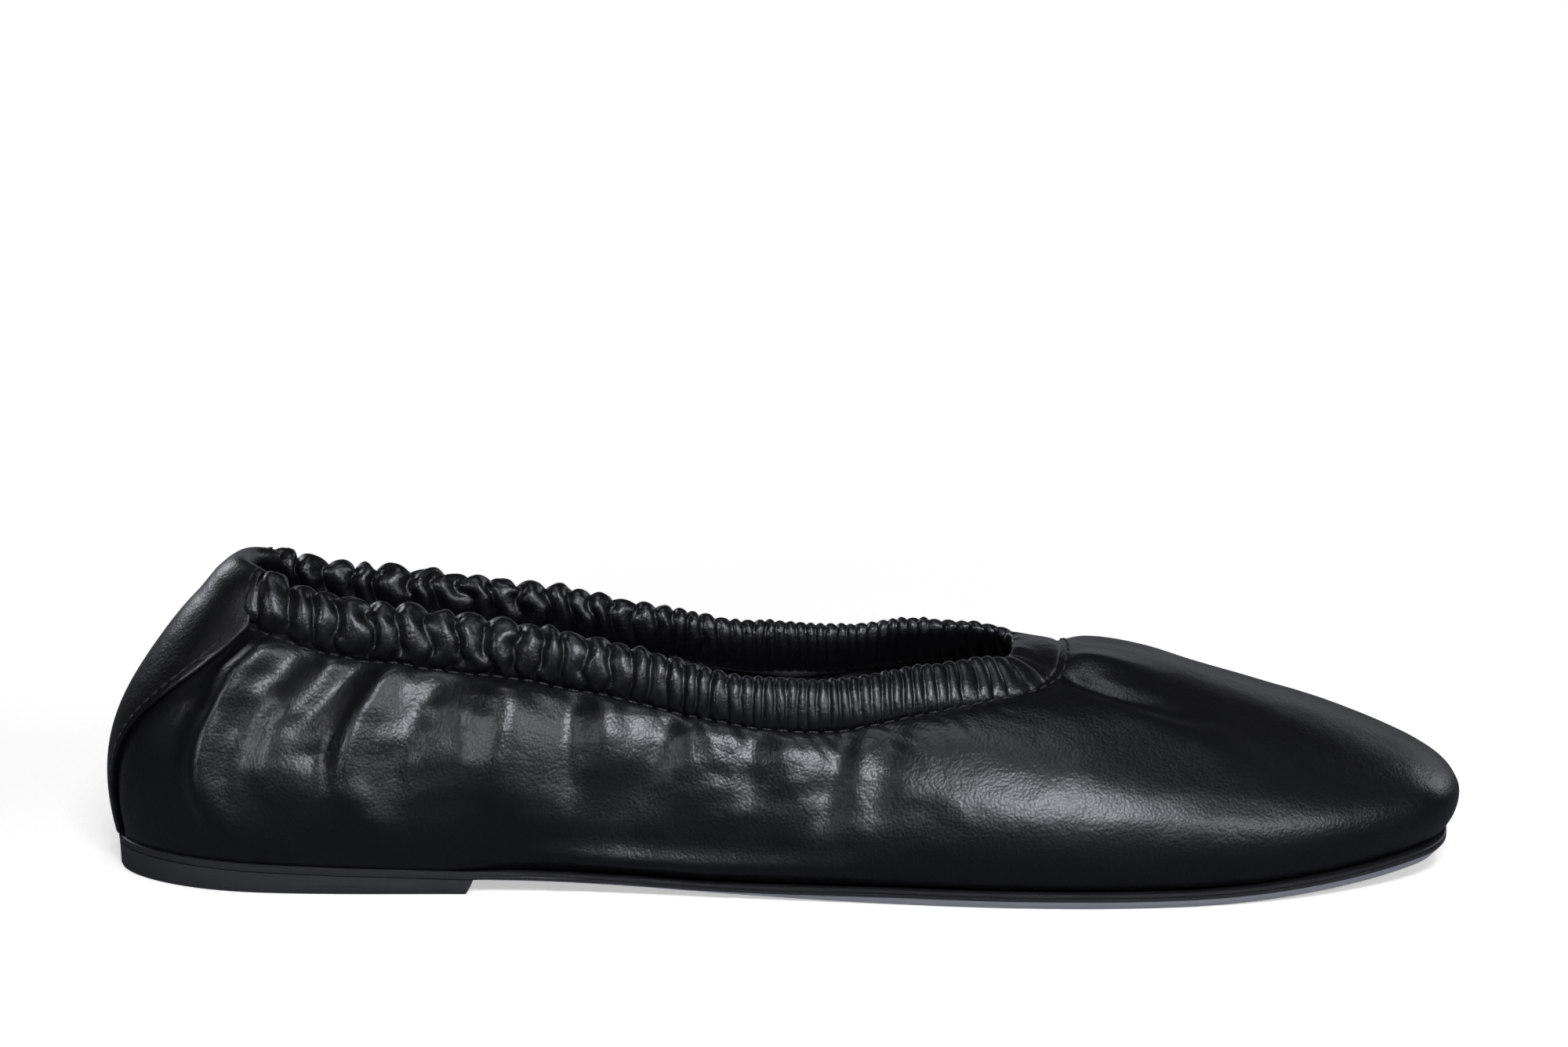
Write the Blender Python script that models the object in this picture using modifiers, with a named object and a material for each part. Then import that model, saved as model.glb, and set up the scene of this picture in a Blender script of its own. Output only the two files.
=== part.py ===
"""Ballet flat with a gathered, elastic collar: a right shoe, standing unbent on its sole.

Metres, +Z up, toe towards +X, the outer (lateral) side of the foot towards -Y.
The shoe is drawn from the back of its feather line, the line where upper and sole meet, and then
moved so that the origin lies under the middle of the whole shoe, on the floor.

A turn is a place around the shoe: 0 is the middle of the heel, 1 the middle of the toe by way of
the lateral side, and 2 the heel again by way of the medial side.
"""

import math

import bpy
import numpy as np

FULL_TURN = 2.0

# Driving sizes of the last and the sole; the bevel runs in by so much for each part that it drops
SOLE_LENGTH = 0.245
BALL_WIDTH = 0.078
SOLE_EDGE = 0.0013
SOLE_WAIST_THICKNESS = 0.0015
SOLE_FORE_THICKNESS = 0.0031
BEVEL_RUN = 1.2
TOE_SPRING = 0.004
HEEL_LENGTH = 0.067
HEEL_BACK_LIFT = 0.0044
HEEL_BREAST_LIFT = 0.0024
HEEL_INSET = 0.0003
BREAST_SLANT = 0.0013

# Driving sizes of the upper
UPPER_HEIGHT = 0.048
UPPER_WALL = 0.0016
FEATHER_MARGIN = 0.0007
CASING_HEIGHT = 0.0088
CASING_THICKNESS = 0.0042
CASING_BACK_THICKNESS = 0.0028
TAB_THICKNESS = 0.0026
GATHER_DEPTH = 0.26
GATHER_RISE = 0.0007
GATHERS_A_SIDE = 24
PANEL_THICKNESS = 0.0010
INSOLE_THICKNESS = 0.0022
GAP = 0.0003

# Shares of the sole's length
FLAT_START = 0.60
FLAT_END = 0.78
THICKENS_FROM = 0.42

# The sole's outline: the turn, the share of the length, and the shares of the ball width on each side.
OUTLINE = (
    # turn, along, lateral, medial
    (0.00, 0.000, 0.000, 0.000),
    (0.07, 0.019, 0.170, 0.170),
    (0.14, 0.075, 0.303, 0.300),
    (0.22, 0.160, 0.350, 0.340),
    (0.32, 0.280, 0.352, 0.316),
    (0.42, 0.400, 0.374, 0.296),
    (0.52, 0.520, 0.430, 0.346),
    (0.62, 0.640, 0.494, 0.436),
    (0.70, 0.735, 0.508, 0.490),
    (0.78, 0.830, 0.466, 0.492),
    (0.86, 0.916, 0.358, 0.428),
    (0.92, 0.966, 0.252, 0.340),
    (0.965, 0.992, 0.136, 0.228),
    (1.00, 1.000, -0.045, 0.045),
)

# The seam under the casing: shares of the length, ball width and upper height, and the casing's lean
# in degrees.
TOPLINE = (
    # turn, along, lateral, medial, lateral_rise, medial_rise, lean
    (0.00, 0.070, 0.000, 0.000, 0.925, 0.925, 48.0),
    (0.06, 0.079, 0.108, 0.108, 0.910, 0.910, 42.0),
    (0.12, 0.109, 0.178, 0.178, 0.860, 0.865, 26.0),
    (0.20, 0.163, 0.222, 0.220, 0.780, 0.790, 14.0),
    (0.30, 0.253, 0.244, 0.232, 0.730, 0.745, 10.0),
    (0.40, 0.352, 0.272, 0.244, 0.670, 0.690, 10.0),
    (0.50, 0.445, 0.322, 0.276, 0.590, 0.620, 11.0),
    (0.58, 0.520, 0.344, 0.298, 0.550, 0.585, 14.0),
    (0.66, 0.590, 0.322, 0.292, 0.595, 0.620, 26.0),
    (0.74, 0.652, 0.272, 0.266, 0.640, 0.655, 42.0),
    (0.80, 0.684, 0.220, 0.234, 0.668, 0.678, 58.0),
    (0.86, 0.6995, 0.156, 0.186, 0.700, 0.706, 70.0),
    (0.93, 0.7060, 0.070, 0.110, 0.744, 0.746, 80.0),
    (1.00, 0.708, -0.022, 0.022, 0.762, 0.762, 84.0),
)

# How each rib of the upper swells between feather line and seam: outward lengths as shares of the
# ball width, the rest as shares of the rib's own plan run and rise.
RIBS = (
    # turn, wall_out, wall_rise, belly_out, belly_rise, crown_in, crown_rise
    (0.00, 0.066, 0.476, -0.056, 0.603, 0.426, 0.799),
    (0.12, 0.060, 0.400, 0.000, 0.560, 0.390, 0.800),
    (0.24, 0.054, 0.280, 0.060, 0.510, 0.360, 0.810),
    (0.38, 0.050, 0.260, 0.068, 0.520, 0.380, 0.840),
    (0.52, 0.050, 0.300, 0.060, 0.560, 0.450, 0.880),
    (0.62, 0.054, 0.320, 0.044, 0.600, 0.500, 0.940),
    (0.72, 0.056, 0.330, 0.030, 0.570, 0.545, 0.980),
    (0.82, 0.062, 0.335, 0.050, 0.455, 0.600, 0.965),
    (0.92, 0.078, 0.320, 0.090, 0.370, 0.620, 0.930),
    (1.00, 0.086, 0.310, 0.114, 0.360, 0.620, 0.930),
)

# Where the sewn-on pieces begin and end
PANEL_FOOT_TURN = 0.036
PANEL_TOP_TURN = 0.122
TAB_TURN = 0.86
SEAM_TURN_GAP = 0.002

# How finely the solids are faceted
RIB_COUNT = 84
RIB_STEPS = 11
SOLE_STEPS = 42
HEEL_STEPS = 14
CASING_STEPS_A_GATHER = 4
CASING_CORNERS = 10
PANEL_STEPS = 8
TAB_STEPS = 12

COLLECTION = "ballet_flat"


def loop_spline(table):
    """A function of the turn: the smooth closed cubic curve through a table's rows."""
    knots, values = table[:, 0], table[:, 1:]
    count = len(knots)
    gaps = np.diff(np.append(knots, knots[0] + FULL_TURN))
    matrix = np.zeros((count, count))
    right = np.zeros_like(values)
    for i in range(count):
        before, after = gaps[i - 1], gaps[i]
        matrix[i, i - 1] += before
        matrix[i, i] += 2.0 * (before + after)
        matrix[i, (i + 1) % count] += after
        ahead = (values[(i + 1) % count] - values[i]) / after
        behind = (values[i] - values[i - 1]) / before
        right[i] = 6.0 * (ahead - behind)
    bends = np.linalg.solve(matrix, right)

    def curve(turn):
        turn = np.mod(np.asarray(turn, float), FULL_TURN)
        low = np.searchsorted(knots, turn, side="right") - 1
        high = (low + 1) % count
        gap = gaps[low][..., None]
        b = (turn - knots[low])[..., None] / gap
        a = 1.0 - b
        bending = (a**3 - a) * bends[low] + (b**3 - b) * bends[high]
        return a * values[low] + b * values[high] + bending * gap**2 / 6.0

    return curve


def both_sides(rows, lateral, medial):
    """Each row's lateral values on the way to the toe, then its medial values on the way back."""
    out = [lateral(row) for row in rows]
    back = [medial(row) for row in rows[-2:0:-1]]
    return np.array(out + back)


def outline_table():
    def on_side(row, side):
        turn, along, lateral, medial = row
        width = -lateral if side < 0 else medial
        place = turn if side < 0 else FULL_TURN - turn
        return (place, along * SOLE_LENGTH, width * BALL_WIDTH)

    return both_sides(OUTLINE, lambda r: on_side(r, -1), lambda r: on_side(r, 1))


def topline_table():
    def on_side(row, side):
        turn, along, lateral, medial, low, high, lean = row
        width = -lateral if side < 0 else medial
        rise = low if side < 0 else high
        place = turn if side < 0 else FULL_TURN - turn
        return (place, along * SOLE_LENGTH, width * BALL_WIDTH, rise * UPPER_HEIGHT, lean)

    return both_sides(TOPLINE, lambda r: on_side(r, -1), lambda r: on_side(r, 1))


def rib_table():
    def on_side(row, side):
        turn, wall_out, wall_rise, belly_out, belly_rise, crown_in, crown_rise = row
        place = turn if side < 0 else FULL_TURN - turn
        wall, belly = wall_out * BALL_WIDTH, belly_out * BALL_WIDTH
        return (place, wall, wall_rise, belly, belly_rise, crown_in, crown_rise)

    return both_sides(RIBS, lambda r: on_side(r, -1), lambda r: on_side(r, 1))


OUTLINE_AT = loop_spline(outline_table())
TOPLINE_AT = loop_spline(topline_table())
RIB_AT = loop_spline(rib_table())


def plan_normal(curve, turn):
    """The outward direction, seen from above, of a closed curve round the shoe."""
    step = 0.002
    way = curve(turn + step)[..., :2] - curve(turn - step)[..., :2]
    way /= np.linalg.norm(way, axis=-1, keepdims=True)
    return np.stack([way[..., 1], -way[..., 0]], axis=-1)


def sole_outline(turn, inset=0.0):
    """Points on the sole's outline, moved inwards by inset."""
    return OUTLINE_AT(turn) - inset * plan_normal(OUTLINE_AT, turn)


def eased(share):
    share = np.clip(share, 0.0, 1.0)
    return share * share * (3.0 - 2.0 * share)


def sole_bottom(x):
    """Height of the sole's underside: pitched on the heel, falling, flat, then sprung at the toe."""
    flat_start, flat_end = FLAT_START * SOLE_LENGTH, FLAT_END * SOLE_LENGTH
    pitch = (HEEL_BREAST_LIFT - HEEL_BACK_LIFT) / HEEL_LENGTH
    on_heel = HEEL_BACK_LIFT + GAP + pitch * np.clip(x, 0.0, HEEL_LENGTH)
    waist = (x - HEEL_LENGTH) / (flat_start - HEEL_LENGTH)
    spring = np.clip((x - flat_end) / (SOLE_LENGTH - flat_end), 0.0, None)
    return on_heel * (1.0 - eased(waist)) + TOE_SPRING * spring**2


def sole_thickness(x):
    thickening = (x / SOLE_LENGTH - THICKENS_FROM) / (FLAT_START - THICKENS_FROM)
    return SOLE_WAIST_THICKNESS + (SOLE_FORE_THICKNESS - SOLE_WAIST_THICKNESS) * eased(thickening)


def sole_top(x):
    return sole_bottom(x) + sole_thickness(x)


def shell(turn, share):
    """The upper's outer face: share 0 on the feather line and 1 on the seam under the casing."""
    turn, share = np.broadcast_arrays(np.asarray(turn, float), np.asarray(share, float))
    share = share[..., None]
    foot = sole_outline(turn, FEATHER_MARGIN)
    outward = plan_normal(OUTLINE_AT, turn)
    top = TOPLINE_AT(turn)
    rib = RIB_AT(turn)
    parts = (rib[..., i : i + 1] for i in range(6))
    wall_out, wall_rise, belly_out, belly_rise, crown_in, crown_rise = parts
    ground = sole_top(foot[..., :1]) + GAP
    rise = sole_top(top[..., :1]) + GAP + top[..., 2:3] - ground
    run = top[..., :2] - foot
    plan = (foot, foot + outward * wall_out, foot + outward * belly_out, foot + run * crown_in, foot + run)
    lift = (0.0, wall_rise, belly_rise, crown_rise, 1.0)
    weights = [math.comb(4, k) * share**k * (1.0 - share) ** (4 - k) for k in range(5)]
    across = sum(w * p for w, p in zip(weights, plan))
    height = ground + rise * sum(w * l for w, l in zip(weights, lift))
    return np.concatenate([across, height], axis=-1)


def casing_axes(turn):
    """For places on the topline: the seam point, the way up the casing, and the way out of its face."""
    turn = np.asarray(turn, float)
    outward = plan_normal(TOPLINE_AT, turn)
    lean = np.radians(TOPLINE_AT(turn)[..., 3:4])
    level = np.concatenate([outward, np.zeros_like(lean)], axis=-1)
    upright = np.array([0.0, 0.0, 1.0])
    up = np.cos(lean) * upright - np.sin(lean) * level
    side = np.cos(lean) * level + np.sin(lean) * upright
    return shell(turn, 1.0), up, side


def casing_section(turn, thickness, height, corners, angle_from=0.0, angle_to=2.0 * math.pi, closed=True):
    """The casing's rounded oblong section, or a stretch of its edge, at each place on the topline."""
    seam, up, side = casing_axes(turn)
    middle = seam - side * UPPER_WALL / 2.0 + up * (GAP + CASING_HEIGHT / 2.0)
    angles = np.linspace(angle_from, angle_to, corners, endpoint=not closed)
    squareness = 0.75
    flat = np.sign(np.cos(angles)) * np.abs(np.cos(angles)) ** squareness
    tall = np.sign(np.sin(angles)) * np.abs(np.sin(angles)) ** squareness
    foot = middle - up * CASING_HEIGHT / 2.0
    across = side[:, None] * (flat[None, :, None] * np.reshape(thickness, (-1, 1, 1)) / 2.0)
    rise = (tall[None, :, None] + 1.0) / 2.0 * np.reshape(height, (-1, 1, 1))
    return foot[:, None] + across + up[:, None] * rise


def material(name, colour, roughness):
    made = bpy.data.materials.new(name)
    made.use_nodes = True
    shader = made.node_tree.nodes["Principled BSDF"]
    shader.inputs["Base Color"].default_value = (*colour, 1.0)
    shader.inputs["Roughness"].default_value = roughness
    shader.inputs["Metallic"].default_value = 0.0
    return made


def add_object(name, points, faces, finish, smooth_angle=40.0):
    mesh = bpy.data.meshes.new(name)
    mesh.from_pydata([tuple(map(float, p)) for p in points], [], faces)
    mesh.validate()
    mesh.shade_smooth()
    mesh.set_sharp_from_angle(angle=math.radians(smooth_angle))
    mesh.materials.append(finish)
    made = bpy.data.objects.new(name, mesh)
    bpy.data.collections[COLLECTION].objects.link(made)
    return made


def grid_faces(rows, columns, around):
    """Quads of a grid whose points run along each row in turn; around joins the last row to the first."""
    faces = []
    for r in range(rows if around else rows - 1):
        here, there = r * columns, (r + 1) % rows * columns
        for c in range(columns - 1):
            faces.append((here + c, there + c, there + c + 1, here + c + 1))
    return faces


def sheet_with_wall(name, grid, around, thickness, offset, finish):
    """A surface given as a grid of points, thickened by Solidify."""
    rows, columns = grid.shape[:2]
    made = add_object(name, grid.reshape(-1, 3), grid_faces(rows, columns, around), finish)
    wall = made.modifiers.new("wall", "SOLIDIFY")
    wall.thickness = thickness
    wall.offset = offset
    wall.use_even_offset = True
    return made


def slab(name, rings, finish):
    """A flat body between rings of points, top ring first. Each ring starts at its back and runs round
    by the lateral side; its two sides are tied across, so the faces follow a bend along the length."""
    count = len(rings[0])
    faces = []
    for level in range(len(rings) - 1):
        upper, lower = level * count, (level + 1) * count
        for i in range(count):
            j = (i + 1) % count
            faces.append((upper + j, upper + i, lower + i, lower + j))
    bottom = (len(rings) - 1) * count
    for i in range((count + 1) // 2):
        corners = [i, i + 1, (count - i - 1) % count, (count - i) % count]
        tied = list(dict.fromkeys(corners))
        if len(tied) > 2:
            faces.append(tied)
            faces.append([bottom + c for c in reversed(tied)])
    return add_object(name, np.concatenate(rings), faces, finish)


def swept(name, sections, finish):
    """A solid through closed sections of equal count, with a cap at each end."""
    rows, columns = sections.shape[:2]
    faces = []
    for r in range(rows - 1):
        for c in range(columns):
            d = (c + 1) % columns
            faces.append((r * columns + c, (r + 1) * columns + c, (r + 1) * columns + d, r * columns + d))
    faces.append(list(range(columns)))
    faces.append([(rows - 1) * columns + c for c in reversed(range(columns))])
    return add_object(name, sections.reshape(-1, 3), faces, finish, smooth_angle=75.0)


def sole_turns(steps):
    """Turns around the whole shoe, closer together at heel and toe, and the same on both sides."""
    share = np.arange(2 * steps) / steps
    crowding = 0.08
    return share - crowding * np.sin(2.0 * math.pi * share) / math.pi


def build_outsole(finish):
    turns = sole_turns(SOLE_STEPS)
    rim = sole_outline(turns)
    top = sole_top(rim[:, :1])
    drop = sole_thickness(rim[:, 0]) - SOLE_EDGE
    under = rim - plan_normal(OUTLINE_AT, turns) * (BEVEL_RUN * drop)[:, None]
    rings = [
        np.hstack([rim, top]),
        np.hstack([rim, top - SOLE_EDGE]),
        np.hstack([under, sole_bottom(under[:, :1])]),
    ]
    return slab("outsole", rings, finish)


def turn_at_length(x):
    """The turn on the lateral side where the outline reaches a length from the heel."""
    turns = np.linspace(0.0, 1.0, 2001)
    return float(np.interp(x, OUTLINE_AT(turns)[:, 0], turns))


def build_heel(finish):
    breast = turn_at_length(HEEL_LENGTH)
    share = np.linspace(0.0, 1.0, HEEL_STEPS + 1)[1:]
    lateral = breast * share
    turns = np.concatenate([[0.0], lateral, FULL_TURN - lateral[::-1]])
    rim = sole_outline(turns, HEEL_INSET)
    rim[:, 0] = np.minimum(rim[:, 0], HEEL_LENGTH)
    floor = rim.copy()
    floor[:, 0] = np.minimum(floor[:, 0], HEEL_LENGTH - BREAST_SLANT)
    rings = [
        np.hstack([rim, sole_bottom(rim[:, :1]) - GAP]),
        np.hstack([floor, np.zeros((len(floor), 1))]),
    ]
    return slab("heel_lift", rings, finish)


def build_insole(finish):
    turns = sole_turns(SOLE_STEPS)
    clear = FEATHER_MARGIN + UPPER_WALL + 2.0 * GAP
    rim = sole_outline(turns, clear)
    base = sole_top(rim[:, :1]) + GAP
    rings = [np.hstack([rim, base + INSOLE_THICKNESS]), np.hstack([rim, base])]
    return slab("insole", rings, finish)


def build_upper(finish):
    turns = sole_turns(RIB_COUNT // 2)
    shares = np.linspace(0.0, 1.0, RIB_STEPS + 1)
    grid = shell(turns[:, None], shares[None, :])
    return sheet_with_wall("upper", grid, True, UPPER_WALL, -1.0, finish)


def build_casing(name, begin, end, finish):
    """One side's gathered casing, from the back of the heel to the throat tab."""
    count = GATHERS_A_SIDE * CASING_STEPS_A_GATHER
    share = np.linspace(0.0, 1.0, count + 1)
    turns = begin + (end - begin) * share
    from_heel = np.abs(np.where(turns > 1.0, FULL_TURN - turns, turns))
    wave = np.cos(2.0 * math.pi * share * GATHERS_A_SIDE)
    free = eased((from_heel - PANEL_TOP_TURN) / 0.03) * eased((TAB_TURN - from_heel) / 0.10)
    plain = CASING_BACK_THICKNESS + (CASING_THICKNESS - CASING_BACK_THICKNESS) * free
    thickness = plain * (1.0 - GATHER_DEPTH * free * (0.5 - 0.5 * wave))
    height = CASING_HEIGHT + GATHER_RISE * free * wave
    return swept(name, casing_section(turns, thickness, height, CASING_CORNERS), finish)


def build_tab(finish):
    """The flat, ungathered stretch of casing across the throat."""
    turns = np.linspace(TAB_TURN + SEAM_TURN_GAP, FULL_TURN - TAB_TURN - SEAM_TURN_GAP, TAB_STEPS + 1)
    ones = np.ones(len(turns))
    sections = casing_section(turns, ones * TAB_THICKNESS, ones * CASING_HEIGHT, CASING_CORNERS)
    return swept("throat_tab", sections, finish)


def build_panel(finish):
    """The strip up the back of the heel, sewn over the upper and folded over the elastic at its top."""
    spread = np.linspace(-1.0, 1.0, PANEL_STEPS + 1)
    shares = np.linspace(0.0, 0.97, RIB_STEPS)
    half_turn = PANEL_FOOT_TURN + (PANEL_TOP_TURN - PANEL_FOOT_TURN) * eased(shares)
    face = shell(spread[:, None] * half_turn[None, :], shares[None, :])
    ones = np.ones(len(spread))
    fold = casing_section(
        spread * PANEL_TOP_TURN,
        ones * CASING_BACK_THICKNESS,
        ones * CASING_HEIGHT,
        7,
        math.radians(-8.0),
        math.radians(190.0),
        closed=False,
    )
    grid = np.concatenate([face, fold], axis=1)
    lift_off = 1.0 + 2.0 * GAP / PANEL_THICKNESS
    return sheet_with_wall("back_panel", grid, False, PANEL_THICKNESS, lift_off, finish)


def stand_on_origin(objects):
    """Moves everything so that the origin is on the floor under the middle of the shoe."""
    bpy.context.view_layer.update()
    graph = bpy.context.evaluated_depsgraph_get()
    corners = np.array([c[:] for o in objects for c in o.evaluated_get(graph).bound_box])
    middle = (corners.min(axis=0) + corners.max(axis=0)) / 2.0
    frame = bpy.data.objects.new("shoe_frame", None)
    bpy.data.collections[COLLECTION].objects.link(frame)
    frame.location = (-middle[0], -middle[1], 0.0)
    for made in objects:
        made.parent = frame


def main():
    for old in list(bpy.data.objects):
        bpy.data.objects.remove(old)
    holder = bpy.data.collections.new(COLLECTION)
    bpy.context.scene.collection.children.link(holder)

    nappa = material("black_nappa", (0.012, 0.012, 0.015), 0.38)
    lining = material("black_lining", (0.016, 0.016, 0.018), 0.75)
    edge = material("black_sole", (0.022, 0.022, 0.025), 0.55)
    rubber = material("grey_black_heel", (0.032, 0.032, 0.036), 0.70)

    objects = [
        build_outsole(edge),
        build_heel(rubber),
        build_insole(lining),
        build_upper(nappa),
        build_casing("casing_lateral", SEAM_TURN_GAP, TAB_TURN, nappa),
        build_casing("casing_medial", FULL_TURN - TAB_TURN, FULL_TURN - SEAM_TURN_GAP, nappa),
        build_tab(nappa),
        build_panel(nappa),
    ]
    stand_on_origin(objects)


main()
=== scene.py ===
"""Looks of a black ballet flat with a gathered elastic collar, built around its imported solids.

Metres, +Z up, toe towards +X, the outer (lateral) side of the foot towards -Y.
A turn is a place around the shoe: 0 is the middle of the heel, 1 the middle of the toe by way of
the lateral side, and 2 the heel again by way of the medial side. A rib is the line on the upper
from the feather line, where upper and sole meet, up to the seam under the collar's casing.
"""

import math

import bmesh
import bpy
import numpy as np
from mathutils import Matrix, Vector


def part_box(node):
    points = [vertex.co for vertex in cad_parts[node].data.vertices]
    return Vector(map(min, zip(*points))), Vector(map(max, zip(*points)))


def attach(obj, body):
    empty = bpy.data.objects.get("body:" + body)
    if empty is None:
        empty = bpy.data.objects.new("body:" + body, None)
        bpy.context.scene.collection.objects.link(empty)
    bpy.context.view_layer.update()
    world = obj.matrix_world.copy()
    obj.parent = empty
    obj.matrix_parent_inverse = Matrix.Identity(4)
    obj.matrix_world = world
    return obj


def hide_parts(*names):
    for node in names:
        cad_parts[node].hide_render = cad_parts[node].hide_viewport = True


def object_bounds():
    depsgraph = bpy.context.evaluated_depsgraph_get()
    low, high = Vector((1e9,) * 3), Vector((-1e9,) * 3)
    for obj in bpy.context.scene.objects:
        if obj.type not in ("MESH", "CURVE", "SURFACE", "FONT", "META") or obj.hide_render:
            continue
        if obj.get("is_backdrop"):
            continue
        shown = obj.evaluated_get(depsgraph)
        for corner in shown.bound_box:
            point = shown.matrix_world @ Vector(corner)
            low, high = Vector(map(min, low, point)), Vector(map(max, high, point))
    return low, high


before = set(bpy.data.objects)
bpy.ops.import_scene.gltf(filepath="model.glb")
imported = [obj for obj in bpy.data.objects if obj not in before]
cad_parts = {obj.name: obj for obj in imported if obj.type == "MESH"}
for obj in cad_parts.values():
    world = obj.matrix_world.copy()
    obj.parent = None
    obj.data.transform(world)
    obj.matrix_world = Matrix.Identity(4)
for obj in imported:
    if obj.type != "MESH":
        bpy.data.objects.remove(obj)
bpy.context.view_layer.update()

FULL_TURN = 2.0
MM = 0.001

# Sizes of the last, the sole and the upper, as the solids have them
SOLE_LENGTH = 0.245
BALL_WIDTH = 0.078
SOLE_EDGE = 0.0013
SOLE_WAIST_THICKNESS = 0.0015
SOLE_FORE_THICKNESS = 0.0031
BEVEL_RUN = 1.2
TOE_SPRING = 0.004
HEEL_LENGTH = 0.067
HEEL_BACK_LIFT = 0.0044
HEEL_BREAST_LIFT = 0.0024
HEEL_INSET = 0.0003
BREAST_SLANT = 0.0013
UPPER_HEIGHT = 0.048
UPPER_WALL = 0.0016
FEATHER_MARGIN = 0.0007
CASING_HEIGHT = 0.0088
INSOLE_THICKNESS = 0.0022
GAP = 0.0003
FLAT_START = 0.60
FLAT_END = 0.78
THICKENS_FROM = 0.42
PANEL_FOOT_TURN = 0.036
PANEL_TOP_TURN = 0.122
TAB_TURN = 0.86
SOLE_STEPS = 42

# The sole's outline: the turn, the share of the length, and the shares of the ball width on each side.
OUTLINE = (
    # turn, along, lateral, medial
    (0.00, 0.000, 0.000, 0.000),
    (0.07, 0.019, 0.170, 0.170),
    (0.14, 0.075, 0.303, 0.300),
    (0.22, 0.160, 0.350, 0.340),
    (0.32, 0.280, 0.352, 0.316),
    (0.42, 0.400, 0.374, 0.296),
    (0.52, 0.520, 0.430, 0.346),
    (0.62, 0.640, 0.494, 0.436),
    (0.70, 0.735, 0.508, 0.490),
    (0.78, 0.830, 0.466, 0.492),
    (0.86, 0.916, 0.358, 0.428),
    (0.92, 0.966, 0.252, 0.340),
    (0.965, 0.992, 0.136, 0.228),
    (1.00, 1.000, -0.045, 0.045),
)

# The seam under the casing: shares of the length, ball width and upper height, and the casing's lean
# in degrees.
TOPLINE = (
    # turn, along, lateral, medial, lateral_rise, medial_rise, lean
    (0.00, 0.070, 0.000, 0.000, 0.925, 0.925, 48.0),
    (0.06, 0.079, 0.108, 0.108, 0.910, 0.910, 42.0),
    (0.12, 0.109, 0.178, 0.178, 0.860, 0.865, 26.0),
    (0.20, 0.163, 0.222, 0.220, 0.780, 0.790, 14.0),
    (0.30, 0.253, 0.244, 0.232, 0.730, 0.745, 10.0),
    (0.40, 0.352, 0.272, 0.244, 0.670, 0.690, 10.0),
    (0.50, 0.445, 0.322, 0.276, 0.590, 0.620, 11.0),
    (0.58, 0.520, 0.344, 0.298, 0.550, 0.585, 14.0),
    (0.66, 0.590, 0.322, 0.292, 0.595, 0.620, 26.0),
    (0.74, 0.652, 0.272, 0.266, 0.640, 0.655, 42.0),
    (0.80, 0.684, 0.220, 0.234, 0.668, 0.678, 58.0),
    (0.86, 0.6995, 0.156, 0.186, 0.700, 0.706, 70.0),
    (0.93, 0.7060, 0.070, 0.110, 0.744, 0.746, 80.0),
    (1.00, 0.708, -0.022, 0.022, 0.762, 0.762, 84.0),
)

# How each rib of the upper swells: outward lengths as shares of the ball width, the rest as shares of
# the rib's own plan run and rise.
RIBS = (
    # turn, wall_out, wall_rise, belly_out, belly_rise, crown_in, crown_rise
    (0.00, 0.066, 0.476, -0.056, 0.603, 0.426, 0.799),
    (0.12, 0.060, 0.400, 0.000, 0.560, 0.390, 0.800),
    (0.24, 0.054, 0.280, 0.060, 0.510, 0.360, 0.810),
    (0.38, 0.050, 0.260, 0.068, 0.520, 0.380, 0.840),
    (0.52, 0.050, 0.300, 0.060, 0.560, 0.450, 0.880),
    (0.62, 0.054, 0.320, 0.044, 0.600, 0.500, 0.940),
    (0.72, 0.056, 0.330, 0.030, 0.570, 0.545, 0.980),
    (0.82, 0.062, 0.335, 0.050, 0.455, 0.600, 0.965),
    (0.92, 0.078, 0.320, 0.090, 0.370, 0.620, 0.930),
    (1.00, 0.086, 0.310, 0.114, 0.360, 0.620, 0.930),
)

# How the collar gathers along the shoe: millimetres between pleats, the depth of the valleys in the
# casing, the pleats' reach into the upper, how far the leather puffs out below the seam, and the
# casing's thickness and height.
GATHERING = (
    # turn, pitch, valley, upper_pleat, puff, thickness, height
    (0.00, 6.0, 0.0, 0.0, 0.0, 2.8, 8.8),
    (0.09, 6.0, 0.6, 0.0, 0.0, 3.4, 9.0),
    (0.14, 5.6, 2.0, 0.2, 1.3, 6.0, 9.6),
    (0.22, 5.4, 2.2, 0.3, 2.2, 6.4, 9.9),
    (0.32, 5.2, 2.0, 0.3, 2.3, 6.2, 9.7),
    (0.42, 4.0, 1.4, 0.2, 2.0, 5.6, 9.3),
    (0.49, 2.8, 0.9, 0.15, 1.5, 5.0, 9.0),
    (0.56, 1.9, 0.6, 0.1, 1.2, 4.7, 9.0),
    (0.66, 2.0, 0.55, 0.1, 0.9, 4.5, 9.0),
    (0.74, 3.0, 0.6, 0.1, 0.8, 4.0, 8.9),
    (0.82, 5.0, 0.4, 0.05, 0.7, 3.3, 8.8),
    (0.87, 5.0, 0.0, 0.0, 0.8, 2.6, 8.8),
    (1.00, 5.0, 0.0, 0.0, 0.9, 2.6, 8.8),
)

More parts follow.
